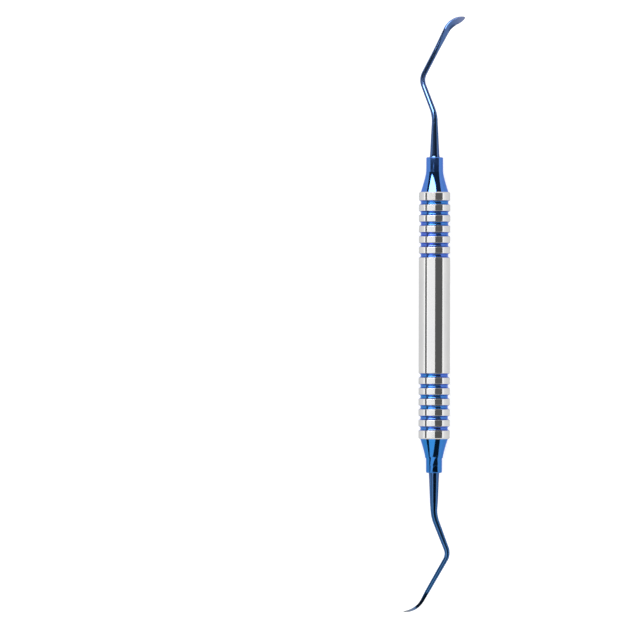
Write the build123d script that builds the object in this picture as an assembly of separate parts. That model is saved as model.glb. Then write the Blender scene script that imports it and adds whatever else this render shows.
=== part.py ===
from build123d import *
import math
import os

# Double-ended hand scaler, lying on its round handle with both bent shanks level. Millimetres.
# The handle's axis runs along Y, the curette end points to +Y and the sickle end to -Y.
# The origin is on the table, straight below the middle of the handle.

# ---- Driving dimensions ----

# Handle: a thick steel tube with six ring grooves at each end and a plain barrel between them.
HANDLE_DIAMETER = 9.5
HANDLE_LENGTH = 74.7
BORE_DIAMETER = 6.0
RINGS_PER_END = 6
RING_PITCH = 3.2
RING_WIDTH = 1.25
RING_SEAT_DIAMETER = 7.4
LAND_EDGE_FILLET = 0.15
MOUTH_CHAMFER = 0.3

# Grip rings: split rings with a hollow round face, sunk a little below the lands.
RING_RIM_DIAMETER = 9.2
RING_WAIST_DIAMETER = 8.3
RING_SPLIT = 0.12

# Cones: a concave flare, then a nearly straight nose, with a spigot inside the tube.
CONE_BASE_DIAMETER = 8.4
CONE_NOSE_CHAMFER = 0.2
THROAT_FILLET = 8.0
FLARE_SAG = 0.07
SPIGOT_LENGTH = 12.0
TANG_DIAMETER = 2.4
TANG_LENGTH = 20.0

# Seals sit in a groove of the spigot, squeezed against the bore.
SEAL_DISTANCE = 3.0
SEAL_WIDTH = 1.2
SEAL_SECTION = 0.9
SEAL_CORNER = 0.3

# Cross pins lock the tangs inside the spigots.
TANG_PIN_DISTANCE = 8.0
TANG_PIN_DIAMETER = 1.0
TANG_PIN_LENGTH = 5.8

# The shanks are round and bend twice in the level plane: away from the axis, then back across it.
SHANK_ROOT_FLARE = 0.2
SHANK_ROOT_LENGTH = 1.0

# The bowl in the curette's blade is cut by a ball that follows the blade's curve.
BOWL_BALL_RADIUS = 1.1
BOWL_DEPTH = 0.22
BOWL_FIRST_PLACE = 1

CURETTE = {
    "cone_length": 10.5,
    "flare_length": 6.0,
    "throat_diameter": 5.2,
    "nose_diameter": 5.1,
    "shank_diameters": [2.75, 1.7, 1.54, 1.52],
    "corner_distances": [12.85, 11.5],
    "neck_distance": 12.9,
    "leans": [20.9, 27.1],
    "bend_radii": [11.5, 4.6],
    "neck_length": 3.8,
    "blade_radius": 6.1,
    "blade_turn": 40.0,
    # Width across the level plane and height along Z: along the blade's arc, then along its toe.
    "arc_sections": [(1.92, 1.24), (2.06, 1.08), (2.14, 0.94), (2.08, 0.84)],
    "toe_distances": [1.2, 2.1, 2.75],
    "toe_sections": [(1.84, 0.72), (1.26, 0.54), (0.56, 0.28)],
}

SICKLE = {
    "cone_length": 10.25,
    "flare_length": 5.6,
    "throat_diameter": 5.4,
    "nose_diameter": 4.85,
    "shank_diameters": [2.98, 1.92, 1.62, 1.26],
    "corner_distances": [13.05, 12.4],
    "neck_distance": 13.0,
    "leans": [20.9, 29.6],
    "bend_radii": [11.5, 4.0],
    "neck_length": 3.0,
    "blade_radius": 6.8,
    "blade_turn": 56.0,
    "arc_sections": [(1.1, 1.36), (1.04, 1.44), (0.92, 1.34), (0.72, 1.04), (0.42, 0.64)],
    "toe_distances": [0.35],
    "toe_sections": [(0.16, 0.3)],
}

# ---- Values worked out from them ----
HANDLE_RADIUS = HANDLE_DIAMETER / 2
BORE_RADIUS = BORE_DIAMETER / 2
TANG_RADIUS = TANG_DIAMETER / 2


def turned(outline):
    """A solid turned about the Y axis from a closed outline of (radius, distance) points."""
    return revolve(make_face(Polyline(*outline, close=True)), Axis.Y)


def ring_places():
    """How far each grip ring's middle is from the tube's middle, from the outside inwards."""
    return [HANDLE_LENGTH / 2 - RING_PITCH * (count + 1) for count in range(RINGS_PER_END)]


def handle_tube():
    """The bored tube with its ring grooves, softened land edges and chamfered mouths."""
    blank = turned(
        [
            (BORE_RADIUS, -HANDLE_LENGTH / 2),
            (HANDLE_RADIUS, -HANDLE_LENGTH / 2),
            (HANDLE_RADIUS, HANDLE_LENGTH / 2),
            (BORE_RADIUS, HANDLE_LENGTH / 2),
        ]
    )
    mouths = [
        edge
        for edge in blank.edges().filter_by(GeomType.CIRCLE)
        if edge.radius > BORE_RADIUS + LAND_EDGE_FILLET
    ]
    blank = chamfer(mouths, MOUTH_CHAMFER)
    for place in ring_places():
        for side in (-1, 1):
            near = side * place - RING_WIDTH / 2
            far = side * place + RING_WIDTH / 2
            seat = RING_SEAT_DIAMETER / 2
            clear = HANDLE_DIAMETER
            blank -= turned([(seat, near), (clear, near), (clear, far), (seat, far)])
    land_edges = [
        edge
        for edge in blank.edges().filter_by(GeomType.CIRCLE)
        if abs(edge.radius - HANDLE_RADIUS) < LAND_EDGE_FILLET
        and abs(edge.center().Y) < HANDLE_LENGTH / 2 - RING_PITCH / 2
    ]
    return fillet(land_edges, LAND_EDGE_FILLET)


def grip_ring(place):
    """A split ring whose outer face is a hollow arc; the split is on the underside."""
    near = place - RING_WIDTH / 2
    far = place + RING_WIDTH / 2
    seat = RING_SEAT_DIAMETER / 2
    rim = RING_RIM_DIAMETER / 2
    outline = Polyline((rim, far), (seat, far), (seat, near), (rim, near))
    face_arc = ThreePointArc((rim, near), (RING_WAIST_DIAMETER / 2, place), (rim, far))
    ring = revolve(make_face(outline + face_arc), Axis.Y)
    split = Pos(0, place, -HANDLE_RADIUS) * Box(RING_SPLIT, RING_WIDTH, HANDLE_RADIUS)
    return ring - split


def cross_hole(diameter, length):
    """A cylinder along X through the axis, where the tang pin goes."""
    return Pos(0, -TANG_PIN_DISTANCE, 0) * Rot(0, 90, 0) * Cylinder(diameter / 2, length)


def seal_groove():
    """The space of the seal: a ring around the spigot with its outer face on the bore."""
    inner = BORE_RADIUS - SEAL_SECTION
    near = -SEAL_DISTANCE - SEAL_WIDTH / 2
    far = -SEAL_DISTANCE + SEAL_WIDTH / 2
    return turned([(inner, near), (BORE_RADIUS, near), (BORE_RADIUS, far), (inner, far)])


def cone(end):
    """A nose cone and its spigot. Distance 0 is the tube's mouth, and the nose points to +Y."""
    base = CONE_BASE_DIAMETER / 2
    throat = end["throat_diameter"] / 2
    nose = end["nose_diameter"] / 2
    flare = end["flare_length"]
    length = end["cone_length"]
    # The flare sags below its chord by a small part of its rise, which makes it concave.
    sag = FLARE_SAG * (base - throat)
    flare_arc = ThreePointArc((base, 0), ((base + throat) / 2 - sag, flare / 2), (throat, flare))
    front = Polyline((throat, flare), (nose, length), (TANG_RADIUS, length))
    back = Polyline(
        (TANG_RADIUS, length),
        (TANG_RADIUS, -SPIGOT_LENGTH),
        (BORE_RADIUS, -SPIGOT_LENGTH),
        (BORE_RADIUS, 0),
        (base, 0),
    )
    body = revolve(make_face(flare_arc + front + back), Axis.Y)
    throat_edges = [
        edge
        for edge in body.edges().filter_by(GeomType.CIRCLE)
        if abs(edge.center().Y - flare) < CONE_NOSE_CHAMFER
    ]
    body = fillet(throat_edges, THROAT_FILLET)
    nose_edges = [
        edge
        for edge in body.edges().filter_by(GeomType.CIRCLE)
        if abs(edge.center().Y - length) < CONE_NOSE_CHAMFER
        and edge.radius > TANG_RADIUS + CONE_NOSE_CHAMFER
    ]
    body = chamfer(nose_edges, CONE_NOSE_CHAMFER)
    return body - seal_groove() - cross_hole(TANG_PIN_DIAMETER, BORE_DIAMETER)


def seal():
    """An O-ring, squeezed to a rounded box section between spigot and bore."""
    ring = seal_groove()
    return fillet(ring.edges().filter_by(GeomType.CIRCLE), SEAL_CORNER)


def tang_pin():
    """A plain pin across the spigot, just short of the bore at both ends."""
    return cross_hole(TANG_PIN_DIAMETER, TANG_PIN_LENGTH)


def straight_run(start, length, diameter_in, diameter_out):
    """A round run along the local +Y of start, and the place of its far end."""
    run = turned([(0, 0), (diameter_in / 2, 0), (diameter_out / 2, length), (0, length)])
    return start * run, start * Pos(0, length, 0)


def bend(start, lean, bend_radius, diameter):
    """A round bend in the level plane. A positive lean turns to the local +X."""
    side = math.copysign(bend_radius, lean)
    section = Rot(90, 0, 0) * Circle(diameter / 2)
    turn = -lean
    axis = Axis((side, 0, 0), (0, 0, math.copysign(1, turn)))
    elbow = revolve(section, axis, abs(turn))
    far = start * Pos(side, 0, 0) * Rot(0, 0, turn) * Pos(-side, 0, 0)
    return start * elbow, far


def oval(place, size):
    """An elliptical section across the local +Y of a place: its width is level, its height is Z."""
    width, height = size
    return place * Rot(90, 0, 0) * Ellipse(width / 2, height / 2)


def blade(start, end):
    """A straight neck, then a blade that curves to the local +X; and the places along its arc."""
    sections = end["arc_sections"]
    radius = end["blade_radius"]
    neck_end = start * Pos(0, end["neck_length"], 0)
    places = []
    for count in range(len(sections)):
        turn = -end["blade_turn"] * count / (len(sections) - 1)
        places.append(neck_end * Pos(radius, 0, 0) * Rot(0, 0, turn) * Pos(-radius, 0, 0))
    round_end = end["shank_diameters"][-1]
    neck = loft([oval(start, (round_end, round_end)), oval(neck_end, sections[0])], ruled=True)
    stations = list(zip(places, sections))
    for distance, size in zip(end["toe_distances"], end["toe_sections"]):
        stations.append((places[-1] * Pos(0, distance, 0), size))
    return neck + loft([oval(place, size) for place, size in stations]), places


def bowl(places, end):
    """The cutter of the curette's bowl: a ball swept round the blade's curve at its upper face."""
    height = end["arc_sections"][-1][1] / 2 - BOWL_DEPTH + BOWL_BALL_RADIUS
    ball = Sphere(BOWL_BALL_RADIUS)
    section = Rot(90, 0, 0) * Circle(BOWL_BALL_RADIUS)
    start = places[BOWL_FIRST_PLACE]
    turn = end["blade_turn"] * (1 - BOWL_FIRST_PLACE / (len(places) - 1))
    swept = revolve(section, Axis((end["blade_radius"], 0, 0), (0, 0, -1)), turn)
    toe = places[-1]
    reach = end["toe_distances"][0]
    straight = turned([(0, 0), (BOWL_BALL_RADIUS, 0), (BOWL_BALL_RADIUS, reach), (0, reach)])
    far = toe * Pos(0, reach, 0)
    return Pos(0, 0, height) * (start * swept + start * ball + toe * straight + far * ball)


def working_end(end):
    """Tang, shank and blade in one piece. Distance 0 is the cone's nose, and it points to +Y."""
    base, neck, middle, tip = end["shank_diameters"]
    first_lean, second_lean = end["leans"]
    first_radius, second_radius = end["bend_radii"]
    first_turn = -first_lean
    second_turn = first_lean + second_lean
    first_cut = first_radius * math.tan(math.radians(abs(first_turn) / 2))
    second_cut = second_radius * math.tan(math.radians(abs(second_turn) / 2))
    first_distance, second_distance = end["corner_distances"]
    tang = turned([(0, -TANG_LENGTH), (TANG_RADIUS, -TANG_LENGTH), (TANG_RADIUS, 0), (0, 0)])
    root_radius = base / 2 + SHANK_ROOT_FLARE
    root = turned([(0, 0), (root_radius, 0), (base / 2, SHANK_ROOT_LENGTH), (0, SHANK_ROOT_LENGTH)])
    place = Pos(0, SHANK_ROOT_LENGTH, 0)
    shank, place = straight_run(place, first_distance - first_cut - SHANK_ROOT_LENGTH, base, neck)
    first_bend, place = bend(place, first_turn, first_radius, neck)
    run, place = straight_run(place, second_distance - first_cut - second_cut, neck, middle)
    second_bend, place = bend(place, second_turn, second_radius, middle)
    reach, place = straight_run(place, end["neck_distance"] - second_cut, middle, tip)
    edge, places = blade(place, end)
    return tang + root + shank + first_bend + run + second_bend + reach + edge, places


def build_end(end, name, turn):
    """All pieces of one end, turned about Z to face +Y or -Y."""
    mouth = Rot(0, 0, turn) * Pos(0, HANDLE_LENGTH / 2, 0)
    nose = mouth * Pos(0, end["cone_length"], 0)
    tool, places = working_end(end)
    if name == "curette":
        tool -= bowl(places, end)
    tang_hole = Pos(0, -end["cone_length"], 0) * cross_hole(TANG_PIN_DIAMETER, BORE_DIAMETER)
    pieces = {
        f"{name}_working_end": nose * (tool - tang_hole),
        f"{name}_cone": mouth * cone(end),
        f"{name}_seal": mouth * seal(),
        f"{name}_tang_pin": mouth * tang_pin(),
    }
    for count, distance in enumerate(ring_places(), start=1):
        pieces[f"{name}_grip_ring_{count}"] = Rot(0, 0, turn) * grip_ring(distance)
    return pieces


def build():
    """Every piece by its node name, resting on the table at Z = 0."""
    pieces = {"handle_tube": handle_tube()}
    pieces.update(build_end(CURETTE, "curette", 0))
    pieces.update(build_end(SICKLE, "sickle", 180))
    return {name: Pos(0, 0, HANDLE_RADIUS) * piece for name, piece in pieces.items()}


os.makedirs("parts", exist_ok=True)
for node, piece in build().items():
    export_step(piece, f"parts/{node}.step")
    box = piece.bounding_box()
    print(node, "from", box.min, "to", box.max)
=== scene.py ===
import math

import bmesh
import bpy
from mathutils import Matrix, Vector


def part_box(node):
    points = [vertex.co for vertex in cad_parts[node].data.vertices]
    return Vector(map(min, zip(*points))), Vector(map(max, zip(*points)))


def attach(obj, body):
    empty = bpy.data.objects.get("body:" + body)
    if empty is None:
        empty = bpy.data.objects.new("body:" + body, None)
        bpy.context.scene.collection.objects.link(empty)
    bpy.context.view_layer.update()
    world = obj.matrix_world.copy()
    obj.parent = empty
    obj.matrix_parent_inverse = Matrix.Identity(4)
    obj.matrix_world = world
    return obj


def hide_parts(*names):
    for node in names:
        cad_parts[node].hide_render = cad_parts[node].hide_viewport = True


# A double-ended hand scaler on a pale table. Metres. The handle's axis runs along Y, the
# curette end points to +Y and the sickle end to -Y. Every metal piece that shows is turned
# or swept here at a fine resolution, in the place that the frame gives it.

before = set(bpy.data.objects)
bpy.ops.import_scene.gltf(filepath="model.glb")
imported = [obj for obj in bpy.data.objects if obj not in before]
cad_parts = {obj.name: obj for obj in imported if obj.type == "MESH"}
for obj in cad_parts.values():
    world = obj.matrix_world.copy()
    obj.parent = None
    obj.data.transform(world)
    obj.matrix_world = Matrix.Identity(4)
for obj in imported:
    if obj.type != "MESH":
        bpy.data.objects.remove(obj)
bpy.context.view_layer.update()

MM = 0.001

# ---- Sizes, from the frame where it has them ----
tube_low, tube_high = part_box("handle_tube")
TUBE_RADIUS = (tube_high.x - tube_low.x) / 2
TUBE_END = tube_high.y
AXIS_HEIGHT = (tube_high.z + tube_low.z) / 2
BORE_RADIUS = (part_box("curette_seal")[1].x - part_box("curette_seal")[0].x) / 2
MOUTH_CHAMFER = 0.3 * MM
EDGE_SOFTNESS = 0.04 * MM

RING_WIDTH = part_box("curette_grip_ring_1")[1].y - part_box("curette_grip_ring_1")[0].y
RING_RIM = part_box("curette_grip_ring_1")[1].x
RING_SEAT = 3.7 * MM
RING_WAIST = 4.13 * MM
RING_SPLIT = 0.12 * MM
LAND_FILLET = 0.15 * MM
RINGS_PER_END = 6

CONE_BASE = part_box("curette_cone")[1].x
TANG_RADIUS = 1.2 * MM
TANG_LENGTH = 20 * MM
SPIGOT_LENGTH = 12 * MM
SEAL_DISTANCE = 3 * MM
SEAL_WIDTH = 1.2 * MM
SEAL_DEPTH = 0.9 * MM
NOSE_CHAMFER = 0.2 * MM
FLARE_POWER = 1.25
THROAT_BLEND = 0.35 * MM
THROAT_STEP = 0.02 * MM

TURN_SEGMENTS = 256
FILLET_STEPS = 6
FLARE_STEPS = 24
RING_STEPS = 16
RING_RIM_FLAT = 0.06 * MM
HOLD = 0.02 * MM
HOLD_SHARE = 0.3
LARGEST_FILLET_SHARE = 0.49
SHARP_ANGLE = math.radians(38)
SAME_POINT = 1e-8

# Each end: where its cone's nose is, and its turn about Z. The flare runs from the tube's
# mouth to the throat. Diameters and lengths are in millimetres, from the nose outwards.
ENDS = {
    "curette": {
        "turn": 0.0,
        "nose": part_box("curette_cone")[1].y,
        "flare": 6.0,
        "throat": 5.2,
        "nose_diameter": 5.1,
        # Runs of the centre line: length and turn towards the side of the blade, in degrees.
        "runs": [
            (10.73, 0.0),
            (4.2, -20.9),
            (7.34, 0.0),
            (3.85, 48.0),
            (14.62, 0.0),
            (4.26, 40.0),
            (2.74, 0.0),
        ],
        # Distance along the centre line, width across the level plane, and height.
        "sizes": [
            (0.0, 3.1, 3.1),
            (0.35, 2.86, 2.86),
            (1.0, 2.74, 2.74),
            (6.0, 2.28, 2.28),
            (10.7, 1.78, 1.78),
            (15.0, 1.66, 1.66),
            (22.3, 1.54, 1.54),
            (33.6, 1.52, 1.52),
            (37.0, 1.68, 1.34),
            (40.8, 1.98, 1.2),
            (43.2, 2.2, 1.04),
            (45.4, 2.1, 0.88),
            (46.4, 1.72, 0.74),
            (47.1, 1.14, 0.54),
            (47.55, 0.7, 0.36),
            (47.74, 0.36, 0.2),
        ],
        # Distance, the way that the ground face looks (0 level, 90 up), how far it lies from
        # the middle as a share of the half size, how deep it is hollowed, and the share for
        # the two flats behind it, where 1 leaves the oval as it is.
        "faces": [
            (33.6, 45.0, 1.0, 0.0, 1.0),
            (39.0, 57.0, 0.45, 0.0, 1.0),
            (40.8, 61.0, 0.4, 0.005, 1.0),
            (42.1, 71.0, 0.37, 0.008, 1.0),
            (43.9, 77.5, 0.35, 0.008, 1.0),
            (47.74, 79.0, 0.35, 0.0, 1.0),
        ],
    },
    "sickle": {
        "turn": math.pi,
        "nose": -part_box("sickle_cone")[0].y,
        "flare": 5.6,
        "throat": 5.4,
        "nose_diameter": 4.85,
        "runs": [
            (10.93, 0.0),
            (4.2, -20.9),
            (8.4, 0.0),
            (3.53, 50.5),
            (14.1, 0.0),
            (6.6, 56.0),
            (0.38, 0.0),
        ],
        "sizes": [
            (0.0, 3.2, 3.2),
            (0.35, 3.06, 3.06),
            (1.0, 2.98, 2.98),
            (5.0, 2.7, 2.7),
            (9.0, 2.38, 2.38),
            (11.5, 2.0, 2.0),
            (15.1, 1.88, 1.88),
            (23.5, 1.62, 1.62),
            (27.0, 1.42, 1.42),
            (38.2, 1.26, 1.26),
            (41.2, 1.16, 1.36),
            (42.8, 1.1, 1.46),
            (44.6, 0.98, 1.34),
            (46.4, 0.76, 1.0),
            (47.6, 0.46, 0.56),
            (48.19, 0.12, 0.16),
        ],
        "faces": [
            (38.2, 0.0, 1.0, 0.0, 1.0),
            (41.2, 0.0, 0.82, 0.0, 0.42),
            (43.5, 0.0, 0.76, 0.02, 0.4),
            (48.19, 0.0, 0.76, 0.0, 0.4),
        ],
    },
}


# ---- Mesh helpers ----


def finish_mesh(mesh_build, name):
    """A smooth-shaded object from a bmesh, with its sharp edges kept crisp."""
    bmesh.ops.remove_doubles(mesh_build, verts=mesh_build.verts, dist=SAME_POINT)
    bmesh.ops.recalc_face_normals(mesh_build, faces=mesh_build.faces)
    mesh = bpy.data.meshes.new(name)
    mesh_build.to_mesh(mesh)
    mesh_build.free()
    mesh.shade_smooth()
    mesh.set_sharp_from_angle(angle=SHARP_ANGLE)
    piece = bpy.data.objects.new(name, mesh)
    bpy.context.scene.collection.objects.link(piece)
    return piece


def rounded(corners):
    """A closed outline of (radius, distance) points, from corners that each give a fillet radius.
    Beside each fillet a held row keeps the flats flat when they are shaded smooth."""
    outline = []
    count = len(corners)
    for index in range(count):
        before, here, after = (Vector(corners[(index + k) % count][:2]) for k in (-1, 0, 1))
        fillet = corners[index][2]
        back, on = (before - here), (after - here)
        if fillet == 0:
            outline.append(here)
            continue
        back_unit, on_unit = back.normalized(), on.normalized()
        half = back_unit.angle(on_unit) / 2
        longest = LARGEST_FILLET_SHARE * min(back.length, on.length)
        reach = min(fillet / math.tan(half), longest)
        radius = reach * math.tan(half)
        centre = here + (back_unit + on_unit).normalized() * (radius / math.sin(half))
        first, last = here + back_unit * reach, here + on_unit * reach
        outline.append(first + back_unit * min(HOLD, HOLD_SHARE * reach))
        for step in range(FILLET_STEPS + 1):
            share = step / FILLET_STEPS
            arm = (first - centre).lerp(last - centre, share).normalized() * radius
            outline.append(centre + arm)
        outline.append(last + on_unit * min(HOLD, HOLD_SHARE * reach))
    return outline


def lathe(name, outline, end_turn=0.0, gap=0.0):
    """Turns a closed outline about the handle's axis. A gap, as an angle, is left at the underside."""
    build = bmesh.new()
    span = 2 * math.pi - gap
    steps = TURN_SEGMENTS
    rows = steps if gap == 0 else steps + 1
    place = Matrix.Translation((0, 0, AXIS_HEIGHT)) @ Matrix.Rotation(end_turn, 4, "Z")
    rings = []
    for row in range(rows):
        angle = -span / 2 + span * row / steps
        across, up = math.sin(angle), math.cos(angle)
        rings.append([build.verts.new(place @ Vector((r * across, y, r * up))) for r, y in outline])
    size = len(outline)
    for row in range(steps):
        near, far = rings[row], rings[(row + 1) % rows]
        for index in range(size):
            following = (index + 1) % size
            build.faces.new((near[index], near[following], far[following], far[index]))
    if gap:
        build.faces.new(rings[0])
        build.faces.new(list(reversed(rings[-1])))
    return finish_mesh(build, name)


def blend_keys(keys, distance):
    """Values at a distance, in proportion between the keys' rows of (distance, value, value, ...)."""
    if distance <= keys[0][0]:
        return keys[0][1:]
    for low, high in zip(keys, keys[1:]):
        if distance <= high[0]:
            share = (distance - low[0]) / (high[0] - low[0])
            return [a + (b - a) * share for a, b in zip(low[1:], high[1:])]
    return keys[-1][1:]


def centre_line(runs, step):
    """Stations along the centre line: distance, x, y and heading, each run in equal short steps."""
    x, y, heading, distance = 0.0, 0.0, 0.0, 0.0
    stations = [(distance, x, y, heading)]
    for length, turn in runs:
        count = max(2, round(length / step))
        for _ in range(count):
            heading += math.radians(turn) / count / 2
            x += math.sin(heading) * length / count
            y += math.cos(heading) * length / count
            heading += math.radians(turn) / count / 2
            distance += length / count
            stations.append((distance, x, y, heading))
    return stations


SECTION_POINTS = 96
SIDE_ANGLE = 115
STATION_STEP = 0.12


def grind(point, half_width, half_height, looks, share, hollow=0.0):
    """Moves a point of the oval back on to a flat that looks a given way, when it is beyond it."""
    angle = math.radians(looks)
    normal = Vector((math.cos(angle), math.sin(angle)))
    along = Vector((-normal.y, normal.x))
    reach = math.hypot(half_width * normal.x, half_height * normal.y)
    half_face = math.hypot(half_width * along.x, half_height * along.y)
    over = point.dot(normal) - reach * share
    if over <= 0:
        return point
    off_middle = min(1.0, abs(point.dot(along)) / half_face)
    return point - normal * (over + hollow * (1 - off_middle ** 2))


def section(width, height, looks, share, hollow, side_share):
    """Points round a cross-section: an oval with a hollowed face and two flat sides behind it."""
    points = []
    half_width, half_height = width / 2, height / 2
    for index in range(SECTION_POINTS):
        turn = 2 * math.pi * index / SECTION_POINTS
        point = Vector((math.cos(turn) * half_width, math.sin(turn) * half_height))
        for side in (looks + SIDE_ANGLE, looks - SIDE_ANGLE):
            point = grind(point, half_width, half_height, side, side_share)
        points.append(grind(point, half_width, half_height, looks, share, hollow))
    return points


def working_end(name, end):
    """Tang, shank and blade in one skin: sections set across the centre line and joined."""
    build = bmesh.new()
    place = (
        Matrix.Rotation(end["turn"], 4, "Z")
        @ Matrix.Translation((0, end["nose"], 0))
        @ Matrix.Scale(MM, 4)
    )
    lift = Matrix.Translation((0, 0, AXIS_HEIGHT))
    tang = TANG_RADIUS / MM
    rings = []
    for distance in (-TANG_LENGTH / MM, 0.0):
        ring = section(2 * tang, 2 * tang, 0.0, 1.0, 0.0, 1.0)
        rings.append([Vector((p.x, distance, p.y)) for p in ring])
    for distance, x, y, heading in centre_line(end["runs"], STATION_STEP):
        width, height = blend_keys(end["sizes"], distance)
        ring = section(width, height, *blend_keys(end["faces"], distance))
        right = Vector((math.cos(heading), -math.sin(heading), 0))
        rings.append([Vector((x, y, 0)) + right * p.x + Vector((0, 0, p.y)) for p in ring])
    rows = [[build.verts.new(lift @ place @ point) for point in ring] for ring in rings]
    for near, far in zip(rows, rows[1:]):
        for index in range(SECTION_POINTS):
            following = (index + 1) % SECTION_POINTS
            build.faces.new((near[index], near[following], far[following], far[index]))
    build.faces.new(rows[0])
    build.faces.new(list(reversed(rows[-1])))
    return finish_mesh(build, name)


# ---- The pieces ----


def ring_middle(node):
    low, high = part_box(node)
    return (low.y + high.y) / 2


def handle():
    """The polished tube: chamfered mouths, twelve ring seats and softened lands."""
    corners = [
        (BORE_RADIUS, -TUBE_END, EDGE_SOFTNESS),
        (TUBE_RADIUS - MOUTH_CHAMFER, -TUBE_END, EDGE_SOFTNESS),
        (TUBE_RADIUS, -TUBE_END + MOUTH_CHAMFER, EDGE_SOFTNESS),
    ]
    names = [f"{end}_grip_ring_{count + 1}" for end in ENDS for count in range(RINGS_PER_END)]
    for middle in sorted(ring_middle(name) for name in names):
        near, far = middle - RING_WIDTH / 2, middle + RING_WIDTH / 2
        corners += [(TUBE_RADIUS, near, LAND_FILLET), (RING_SEAT, near, 0)]
        corners += [(RING_SEAT, far, 0), (TUBE_RADIUS, far, LAND_FILLET)]
    corners.append((TUBE_RADIUS, TUBE_END - MOUTH_CHAMFER, EDGE_SOFTNESS))
    corners.append((TUBE_RADIUS - MOUTH_CHAMFER, TUBE_END, EDGE_SOFTNESS))
    corners.append((BORE_RADIUS, TUBE_END, EDGE_SOFTNESS))
    return lathe("polished_tube", rounded(corners))


def grip_ring(node):
    """A split ring with a hollow round face between two narrow rims."""
    middle = ring_middle(node)
    near, far = middle - RING_WIDTH / 2, middle + RING_WIDTH / 2
    outline = [(RING_SEAT, near), (RING_SEAT, far), (RING_RIM, far)]
    inner = RING_WIDTH / 2 - RING_RIM_FLAT
    for step in range(RING_STEPS + 1):
        share = 1 - 2 * step / RING_STEPS
        radius = RING_RIM - (RING_RIM - RING_WAIST) * math.sqrt(max(0.0, 1 - share * share))
        outline.append((radius, middle + inner * share))
    outline.append((RING_RIM, near))
    return lathe(node + "_face", outline, gap=RING_SPLIT / RING_RIM)


def cone(name, end):
    """A nose cone: concave flare, nearly straight nose, and the spigot with its seal groove."""
    nose, throat = end["nose"], end["throat"] / 2 * MM
    flare, tip = end["flare"] * MM, end["nose_diameter"] / 2 * MM
    outline = []
    for step in range(FLARE_STEPS):
        share = step / FLARE_STEPS
        radius = throat + (CONE_BASE - throat) * (1 - share) ** FLARE_POWER
        outline.append(Vector((radius, TUBE_END + flare * share)))
    seal_near = TUBE_END - SEAL_DISTANCE - SEAL_WIDTH / 2
    seal_far = TUBE_END - SEAL_DISTANCE + SEAL_WIDTH / 2
    groove = BORE_RADIUS - SEAL_DEPTH
    corners = [
        (throat, TUBE_END + flare, 0),
        (tip + THROAT_STEP, TUBE_END + flare + THROAT_BLEND, 0),
        (tip, nose - NOSE_CHAMFER, EDGE_SOFTNESS),
        (tip - NOSE_CHAMFER, nose, EDGE_SOFTNESS),
        (TANG_RADIUS, nose, EDGE_SOFTNESS),
        (TANG_RADIUS, TUBE_END - SPIGOT_LENGTH, 0),
        (BORE_RADIUS, TUBE_END - SPIGOT_LENGTH, 0),
        (BORE_RADIUS, seal_near, 0),
        (groove, seal_near, 0),
        (groove, seal_far, 0),
        (BORE_RADIUS, seal_far, 0),
        (BORE_RADIUS, TUBE_END, 0),
    ]
    closing = [tuple(outline[0]) + (0,), tuple(outline[-1]) + (0,)]
    rest = rounded([closing[1]] + corners + [closing[0]])
    return lathe(name, outline + rest[1:-1], end_turn=end["turn"])


# ---- Materials ----


def new_material(name, color, roughness, metallic=1.0):
    material = bpy.data.materials.new(name)
    material.use_nodes = True
    shader = material.node_tree.nodes["Principled BSDF"]
    shader.inputs["Base Color"].default_value = (*color, 1)
    shader.inputs["Roughness"].default_value = roughness
    shader.inputs["Metallic"].default_value = metallic
    return material, material.node_tree, shader


def noise(tree, stretch, detail=3.0, roughness=0.5):
    """Noise in the row frame, with its own frequency per metre along X, Y and Z."""
    coords = tree.nodes.new("ShaderNodeTexCoord")
    mapping = tree.nodes.new("ShaderNodeMapping")
    mapping.inputs["Scale"].default_value = stretch
    texture = tree.nodes.new("ShaderNodeTexNoise")
    texture.inputs["Scale"].default_value = 1.0
    texture.inputs["Detail"].default_value = detail
    texture.inputs["Roughness"].default_value = roughness
    tree.links.new(coords.outputs["Object"], mapping.inputs["Vector"])
    tree.links.new(mapping.outputs["Vector"], texture.inputs["Vector"])
    return texture.outputs["Fac"]


def spread(tree, value, low, high, from_low=0.3, from_high=0.7):
    node = tree.nodes.new("ShaderNodeMapRange")
    node.inputs["From Min"].default_value = from_low
    node.inputs["From Max"].default_value = from_high
    node.inputs["To Min"].default_value = low
    node.inputs["To Max"].default_value = high
    tree.links.new(value, node.inputs["Value"])
    return node.outputs["Result"]


def mixed(tree, factor, first, second):
    node = tree.nodes.new("ShaderNodeMix")
    node.data_type = "RGBA"
    for socket, colour in ((node.inputs[6], first), (node.inputs[7], second)):
        if isinstance(colour, tuple):
            socket.default_value = (*colour, 1)
        else:
            tree.links.new(colour, socket)
    tree.links.new(factor, node.inputs[0])
    return node.outputs[2]


def bump(tree, shader, height, strength, depth):
    node = tree.nodes.new("ShaderNodeBump")
    node.inputs["Strength"].default_value = strength
    node.inputs["Distance"].default_value = depth
    tree.links.new(height, node.inputs["Height"])
    tree.links.new(node.outputs["Normal"], shader.inputs["Normal"])


# Noise frequencies per metre, the depth of the marks, and reflectivity tints near the outline.
TURNING_MARKS = (260, 9000, 260)
SMUDGES = (140, 90, 140)
HUE_DRIFT = (110, 70, 110)
RUBBER_GRAIN = (4000, 4000, 4000)
DRAWN_MARKS = (300, 8000, 8000)
MARK_DEPTH = 0.004 * MM
GRAIN_DEPTH = 0.01 * MM
STEEL_EDGE = (0.8, 0.8, 0.8)
COAT_EDGE = (0.62, 0.68, 1.0)
TOOL_EDGE = (0.15, 0.2, 0.4)


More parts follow.
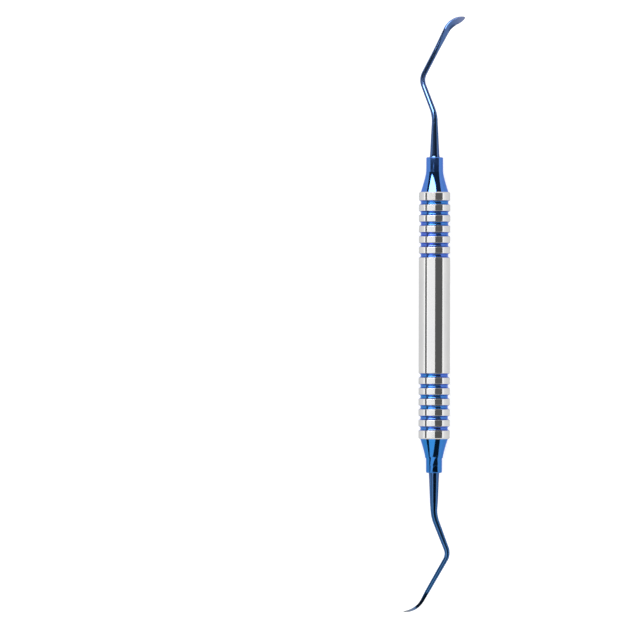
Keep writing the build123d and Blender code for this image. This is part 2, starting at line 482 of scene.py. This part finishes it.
def polished_steel():
    """Centreless-ground steel: rings of very fine marks, faint smudges."""
    material, tree, shader = new_material("polished_steel", (0.5, 0.5, 0.505), 0.08)
    shader.inputs["Specular Tint"].default_value = (*STEEL_EDGE, 1)
    marks = noise(tree, TURNING_MARKS, detail=2)
    smudges = noise(tree, SMUDGES, detail=4)
    tone = mixed(tree, spread(tree, smudges, 0, 1), (0.485, 0.485, 0.492), (0.52, 0.517, 0.512))
    tree.links.new(tone, shader.inputs["Base Color"])
    tree.links.new(spread(tree, smudges, 0.06, 0.1), shader.inputs["Roughness"])
    bump(tree, shader, marks, 0.06, MARK_DEPTH)
    return material


def blue_coat(name, deep, light, roughness, edge=COAT_EDGE):
    """Hard blue coat on turned steel: slow drift of hue, fine marks under the gloss."""
    material, tree, shader = new_material(name, deep, roughness)
    shader.inputs["Specular Tint"].default_value = (*edge, 1)
    hue = noise(tree, HUE_DRIFT, detail=2)
    marks = noise(tree, TURNING_MARKS, detail=2)
    tree.links.new(mixed(tree, spread(tree, hue, 0, 1), deep, light), shader.inputs["Base Color"])
    tree.links.new(spread(tree, hue, roughness * 0.8, roughness * 1.2), shader.inputs["Roughness"])
    bump(tree, shader, marks, 0.05, MARK_DEPTH)
    return material


def drift(tree, shader, axis, start, stop, tone):
    """Lets the coat's colour drift towards another tone between two places along an axis, in millimetres."""
    coords = tree.nodes.new("ShaderNodeTexCoord")
    split = tree.nodes.new("ShaderNodeSeparateXYZ")
    tree.links.new(coords.outputs["Object"], split.inputs["Vector"])
    share = spread(tree, split.outputs[axis], 0, 1, start * MM, stop * MM)
    coloured = shader.inputs["Base Color"].links[0].from_socket
    tree.links.new(mixed(tree, share, coloured, tone), shader.inputs["Base Color"])


def dull_rubber():
    material, tree, shader = new_material("seal_rubber", (0.02, 0.02, 0.02), 0.6, 0.0)
    grain = noise(tree, RUBBER_GRAIN)
    tone = mixed(tree, spread(tree, grain, 0, 1), (0.015, 0.015, 0.016), (0.035, 0.035, 0.036))
    tree.links.new(tone, shader.inputs["Base Color"])
    bump(tree, shader, grain, 0.2, GRAIN_DEPTH)
    return material


def drawn_steel():
    material, tree, shader = new_material("drawn_steel", (0.6, 0.6, 0.61), 0.25)
    marks = noise(tree, DRAWN_MARKS)
    tree.links.new(spread(tree, marks, 0.2, 0.34), shader.inputs["Roughness"])
    tree.links.new(mixed(tree, marks, (0.55, 0.55, 0.56), (0.66, 0.66, 0.67)), shader.inputs["Base Color"])
    return material


def dress(piece, material):
    piece.data.materials.clear()
    piece.data.materials.append(material)
    return piece


# ---- Put the object together ----

steel = polished_steel()
ring_coat = blue_coat("blue_ring_coat", (0.02, 0.17, 0.42), (0.07, 0.12, 0.45), 0.1)
cone_coats = {
    "curette": blue_coat("violet_blue_coat", (0.055, 0.16, 0.45), (0.075, 0.15, 0.45), 0.08),
    "sickle": blue_coat("bright_blue_coat", (0.015, 0.16, 0.42), (0.035, 0.15, 0.42), 0.08),
}
tool_coats = {
    "curette": blue_coat("violet_blue_tool", (0.048, 0.108, 0.235), (0.066, 0.1, 0.235), 0.1, TOOL_EDGE),
    "sickle": blue_coat("teal_blue_tool", (0.03, 0.11, 0.255), (0.045, 0.105, 0.25), 0.1, TOOL_EDGE),
}
for side, axis, start, stop, tone in (
    ("curette", "X", 5.0, 8.5, (0.13, 0.155, 0.27)),
    ("sickle", "X", -5, -8.5, (0.2, 0.21, 0.22)),
):
    tree = tool_coats[side].node_tree
    drift(tree, tree.nodes["Principled BSDF"], axis, start, stop, tone)
rubber = dull_rubber()
pin_steel = drawn_steel()

tube = dress(handle(), steel)
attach(tube, "root")
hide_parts("handle_tube")

for side, end in ENDS.items():
    tool = dress(working_end(f"{side}_blade_and_shank", end), tool_coats[side])
    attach(tool, "root")
    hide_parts(f"{side}_working_end")
    nose = dress(cone(f"{side}_nose_cone", end), cone_coats[side])
    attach(nose, "root")
    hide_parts(f"{side}_cone")
    for count in range(1, RINGS_PER_END + 1):
        node = f"{side}_grip_ring_{count}"
        ring = dress(grip_ring(node), ring_coat)
        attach(ring, "root")
        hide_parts(node)
    dress(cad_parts[f"{side}_seal"], rubber)
    dress(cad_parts[f"{side}_tang_pin"], pin_steel)


# ---- Table, light and camera ----


TABLE_SIZE = 6.0
TABLE_DROP = 0.02 * MM
TABLE_GLOW = 0.55


def table():
    """A wide pale floor just under the handle, which glows a little."""
    bpy.ops.mesh.primitive_plane_add(size=TABLE_SIZE)
    floor = bpy.context.object
    floor.name = "table_top"
    floor.location.z = -TABLE_DROP
    material, _, shader = new_material("pale_table", (0.5, 0.5, 0.5), 0.6, 0.0)
    shader.inputs["Emission Color"].default_value = (1, 1, 1, 1)
    shader.inputs["Emission Strength"].default_value = TABLE_GLOW
    dress(floor, material)


def glow(name, brightness):
    material = bpy.data.materials.new(name)
    material.use_nodes = True
    tree = material.node_tree
    tree.nodes.clear()
    output = tree.nodes.new("ShaderNodeOutputMaterial")
    light = tree.nodes.new("ShaderNodeEmission")
    light.inputs["Color"].default_value = (1, 1, 1, 1)
    light.inputs["Strength"].default_value = brightness
    tree.links.new(light.outputs["Emission"], output.inputs["Surface"])
    return material


CARD_DISTANCE = 1.5
CARD_STEP = 6.0
CARD_GAP = 0.5 * MM
PALE = 1.4

# Light and dark cards that only show in reflections, on a wide arch over the handle's axis.
# Each is a brightness and four corners: degrees round the arch from the zenith, and
# millimetres along Y. Within a table, each card hangs just in front of the ones before it.
HANDLE_CARDS = {
    "left_rim": (1.9, (-84, -82), (-73, -82), (-73, 82), (-84, 82)),
    "left_gap": (0.25, (-73, -82), (-57.5, -82), (-57.5, 82), (-73, 82)),
    "overhead_rim": (1.95, (-57.5, -82), (-49, -82), (-49, 82), (-57.5, 82)),
    "overhead": (1.72, (-49, -82), (4.5, -82), (4.5, 82), (-49, 82)),
    "right_gap": (0.18, (4.5, -82), (61, -82), (61, 82), (4.5, 82)),
    "right_rim": (1.8, (61, -82), (73, -82), (73, 82), (61, 82)),
}
CURETTE_CARDS = {
    "field": (0.12, (-62, 82), (60, 82), (60, 300), (-62, 300)),
    "nose": (0.25, (-62, 82), (56, 82), (56, 148), (-62, 148)),
    "crook_line": (1.5, (-24, 150), (-9, 150), (-9, 178), (-24, 178)),
    "shank_left": (0.35, (-62, 185), (-12, 185), (-12, 300), (-62, 300)),
    "wedge_far_left": (0.08, (-62, 300), (-50, 300), (-50, 860), (-62, 1150)),
    "wedge_left": (0.08, (-50, 300), (-36, 300), (-36, 640), (-50, 860)),
    "wedge_right": (0.08, (-36, 300), (12, 300), (12, 1100), (-36, 640)),
    "side_left": (0.08, (-78, 300), (-62, 300), (-62, 1500), (-78, 1500)),
    "side_right": (0.08, (12, 300), (62, 300), (62, 1500), (12, 1500)),
    "light_far_left": (12.0, (-62, 1150), (-50, 860), (-50, 1700), (-62, 1700)),
    "light_left": (12.0, (-50, 860), (-36, 640), (-36, 1700), (-50, 1700)),
    "light_right": (12.0, (-36, 640), (12, 1100), (12, 1700), (-36, 1700)),
    "second_run_line": (1.0, (-20, 300), (-8, 300), (-10, 350), (-22, 350)),
}
SICKLE_CARDS = {
    "nose_left": (0.3, (-72, -170), (-58, -170), (-58, -82), (-72, -82)),
    "nose_right": (0.05, (-22, -170), (58, -170), (58, -82), (-22, -82)),
    "shank_left": (0.65, (-80, -520), (-45, -520), (-50, -170), (-80, -170)),
    "shank_line": (1.7, (-45, -520), (-12, -520), (-26, -170), (-50, -170)),
    "shank_right": (0.03, (-12, -520), (54, -520), (54, -170), (-26, -170)),
    "flare_left": (0.08, (-78, -1400), (-46, -1400), (-58, -520), (-76, -520)),
    "flare_middle": (1.7, (-46, -1400), (30, -1400), (-22, -520), (-58, -520)),
    "flare_right": (0.05, (30, -1400), (56, -1400), (58, -520), (-22, -520)),
}
# Small strips close above a slanting run or a blade: distance, brightness, corners.
STRIPS = {
    "curette_run": (15 * MM, 16.0, (-29, 60), (10, 63.2), (-1, 71.7), (-40, 68)),
    "curette_blade": (20 * MM, 1.45, (24, 83.3), (66, 77.5), (66, 85), (24, 90)),
    "curette_blade_dim": (20 * MM, 0.75, (24, 76), (66, 71), (66, 77.5), (24, 83.3)),
    "sickle_run": (15 * MM, 1.7, (-30, -80.6), (6, -87), (26, -75.5), (-11, -69.3)),
}


def arch_point(angle, along, distance):
    turn = math.radians(angle)
    across, up = math.sin(turn) * distance, math.cos(turn) * distance
    return Vector((across, along * MM, AXIS_HEIGHT + up))


def card(name, distance, brightness, corners):
    """A studio card bent to the arch, between four corners."""
    near_left, near_right, far_right, far_left = (Vector(corner) for corner in corners)
    count = max(1, round((near_right.x - near_left.x) / CARD_STEP))
    points, faces = [], []
    for step in range(count + 1):
        share = step / count
        for corner in (near_left.lerp(near_right, share), far_left.lerp(far_right, share)):
            points.append(arch_point(*corner, distance))
        if step:
            faces.append((2 * step - 2, 2 * step, 2 * step + 1, 2 * step - 1))
    mesh = bpy.data.meshes.new(name)
    mesh.from_pydata(points, [], faces)
    panel = bpy.data.objects.new(name, mesh)
    bpy.context.scene.collection.objects.link(panel)
    dress(panel, glow(name + "_light", brightness))
    panel.visible_camera = False
    panel.visible_diffuse = False
    panel.visible_shadow = False
    panel.visible_transmission = False


def studio():
    world = bpy.data.worlds.new("studio")
    bpy.context.scene.world = world
    world.use_nodes = True
    background = world.node_tree.nodes["Background"]
    background.inputs["Color"].default_value = (1, 1, 1, 1)
    background.inputs["Strength"].default_value = PALE
    for side, cards in (("handle", HANDLE_CARDS), ("curette", CURETTE_CARDS), ("sickle", SICKLE_CARDS)):
        for order, (name, (brightness, *corners)) in enumerate(cards.items()):
            card(f"{side}_{name}", CARD_DISTANCE - order * CARD_GAP, brightness, corners)
    for name, (distance, brightness, *corners) in STRIPS.items():
        card(f"{name}_strip", distance, brightness, corners)


LENS = 500
VIEW_WIDTH = 0.1912
VIEW_ROLL = math.radians(0.13)
AIM = Vector((-35.8 * MM, -0.24 * MM, AXIS_HEIGHT))


def camera():
    """Straight above the level instrument, with its curette end up and to the right of centre."""
    data = bpy.data.cameras.new("camera")
    data.lens = LENS
    view = bpy.data.objects.new("camera", data)
    bpy.context.scene.collection.objects.link(view)
    distance = VIEW_WIDTH * data.lens / data.sensor_width
    view.location = AIM + Vector((0, 0, distance))
    view.rotation_euler.z = VIEW_ROLL
    bpy.context.scene.camera = view


table()
studio()
camera()
bpy.context.scene.view_settings.view_transform = "Standard"
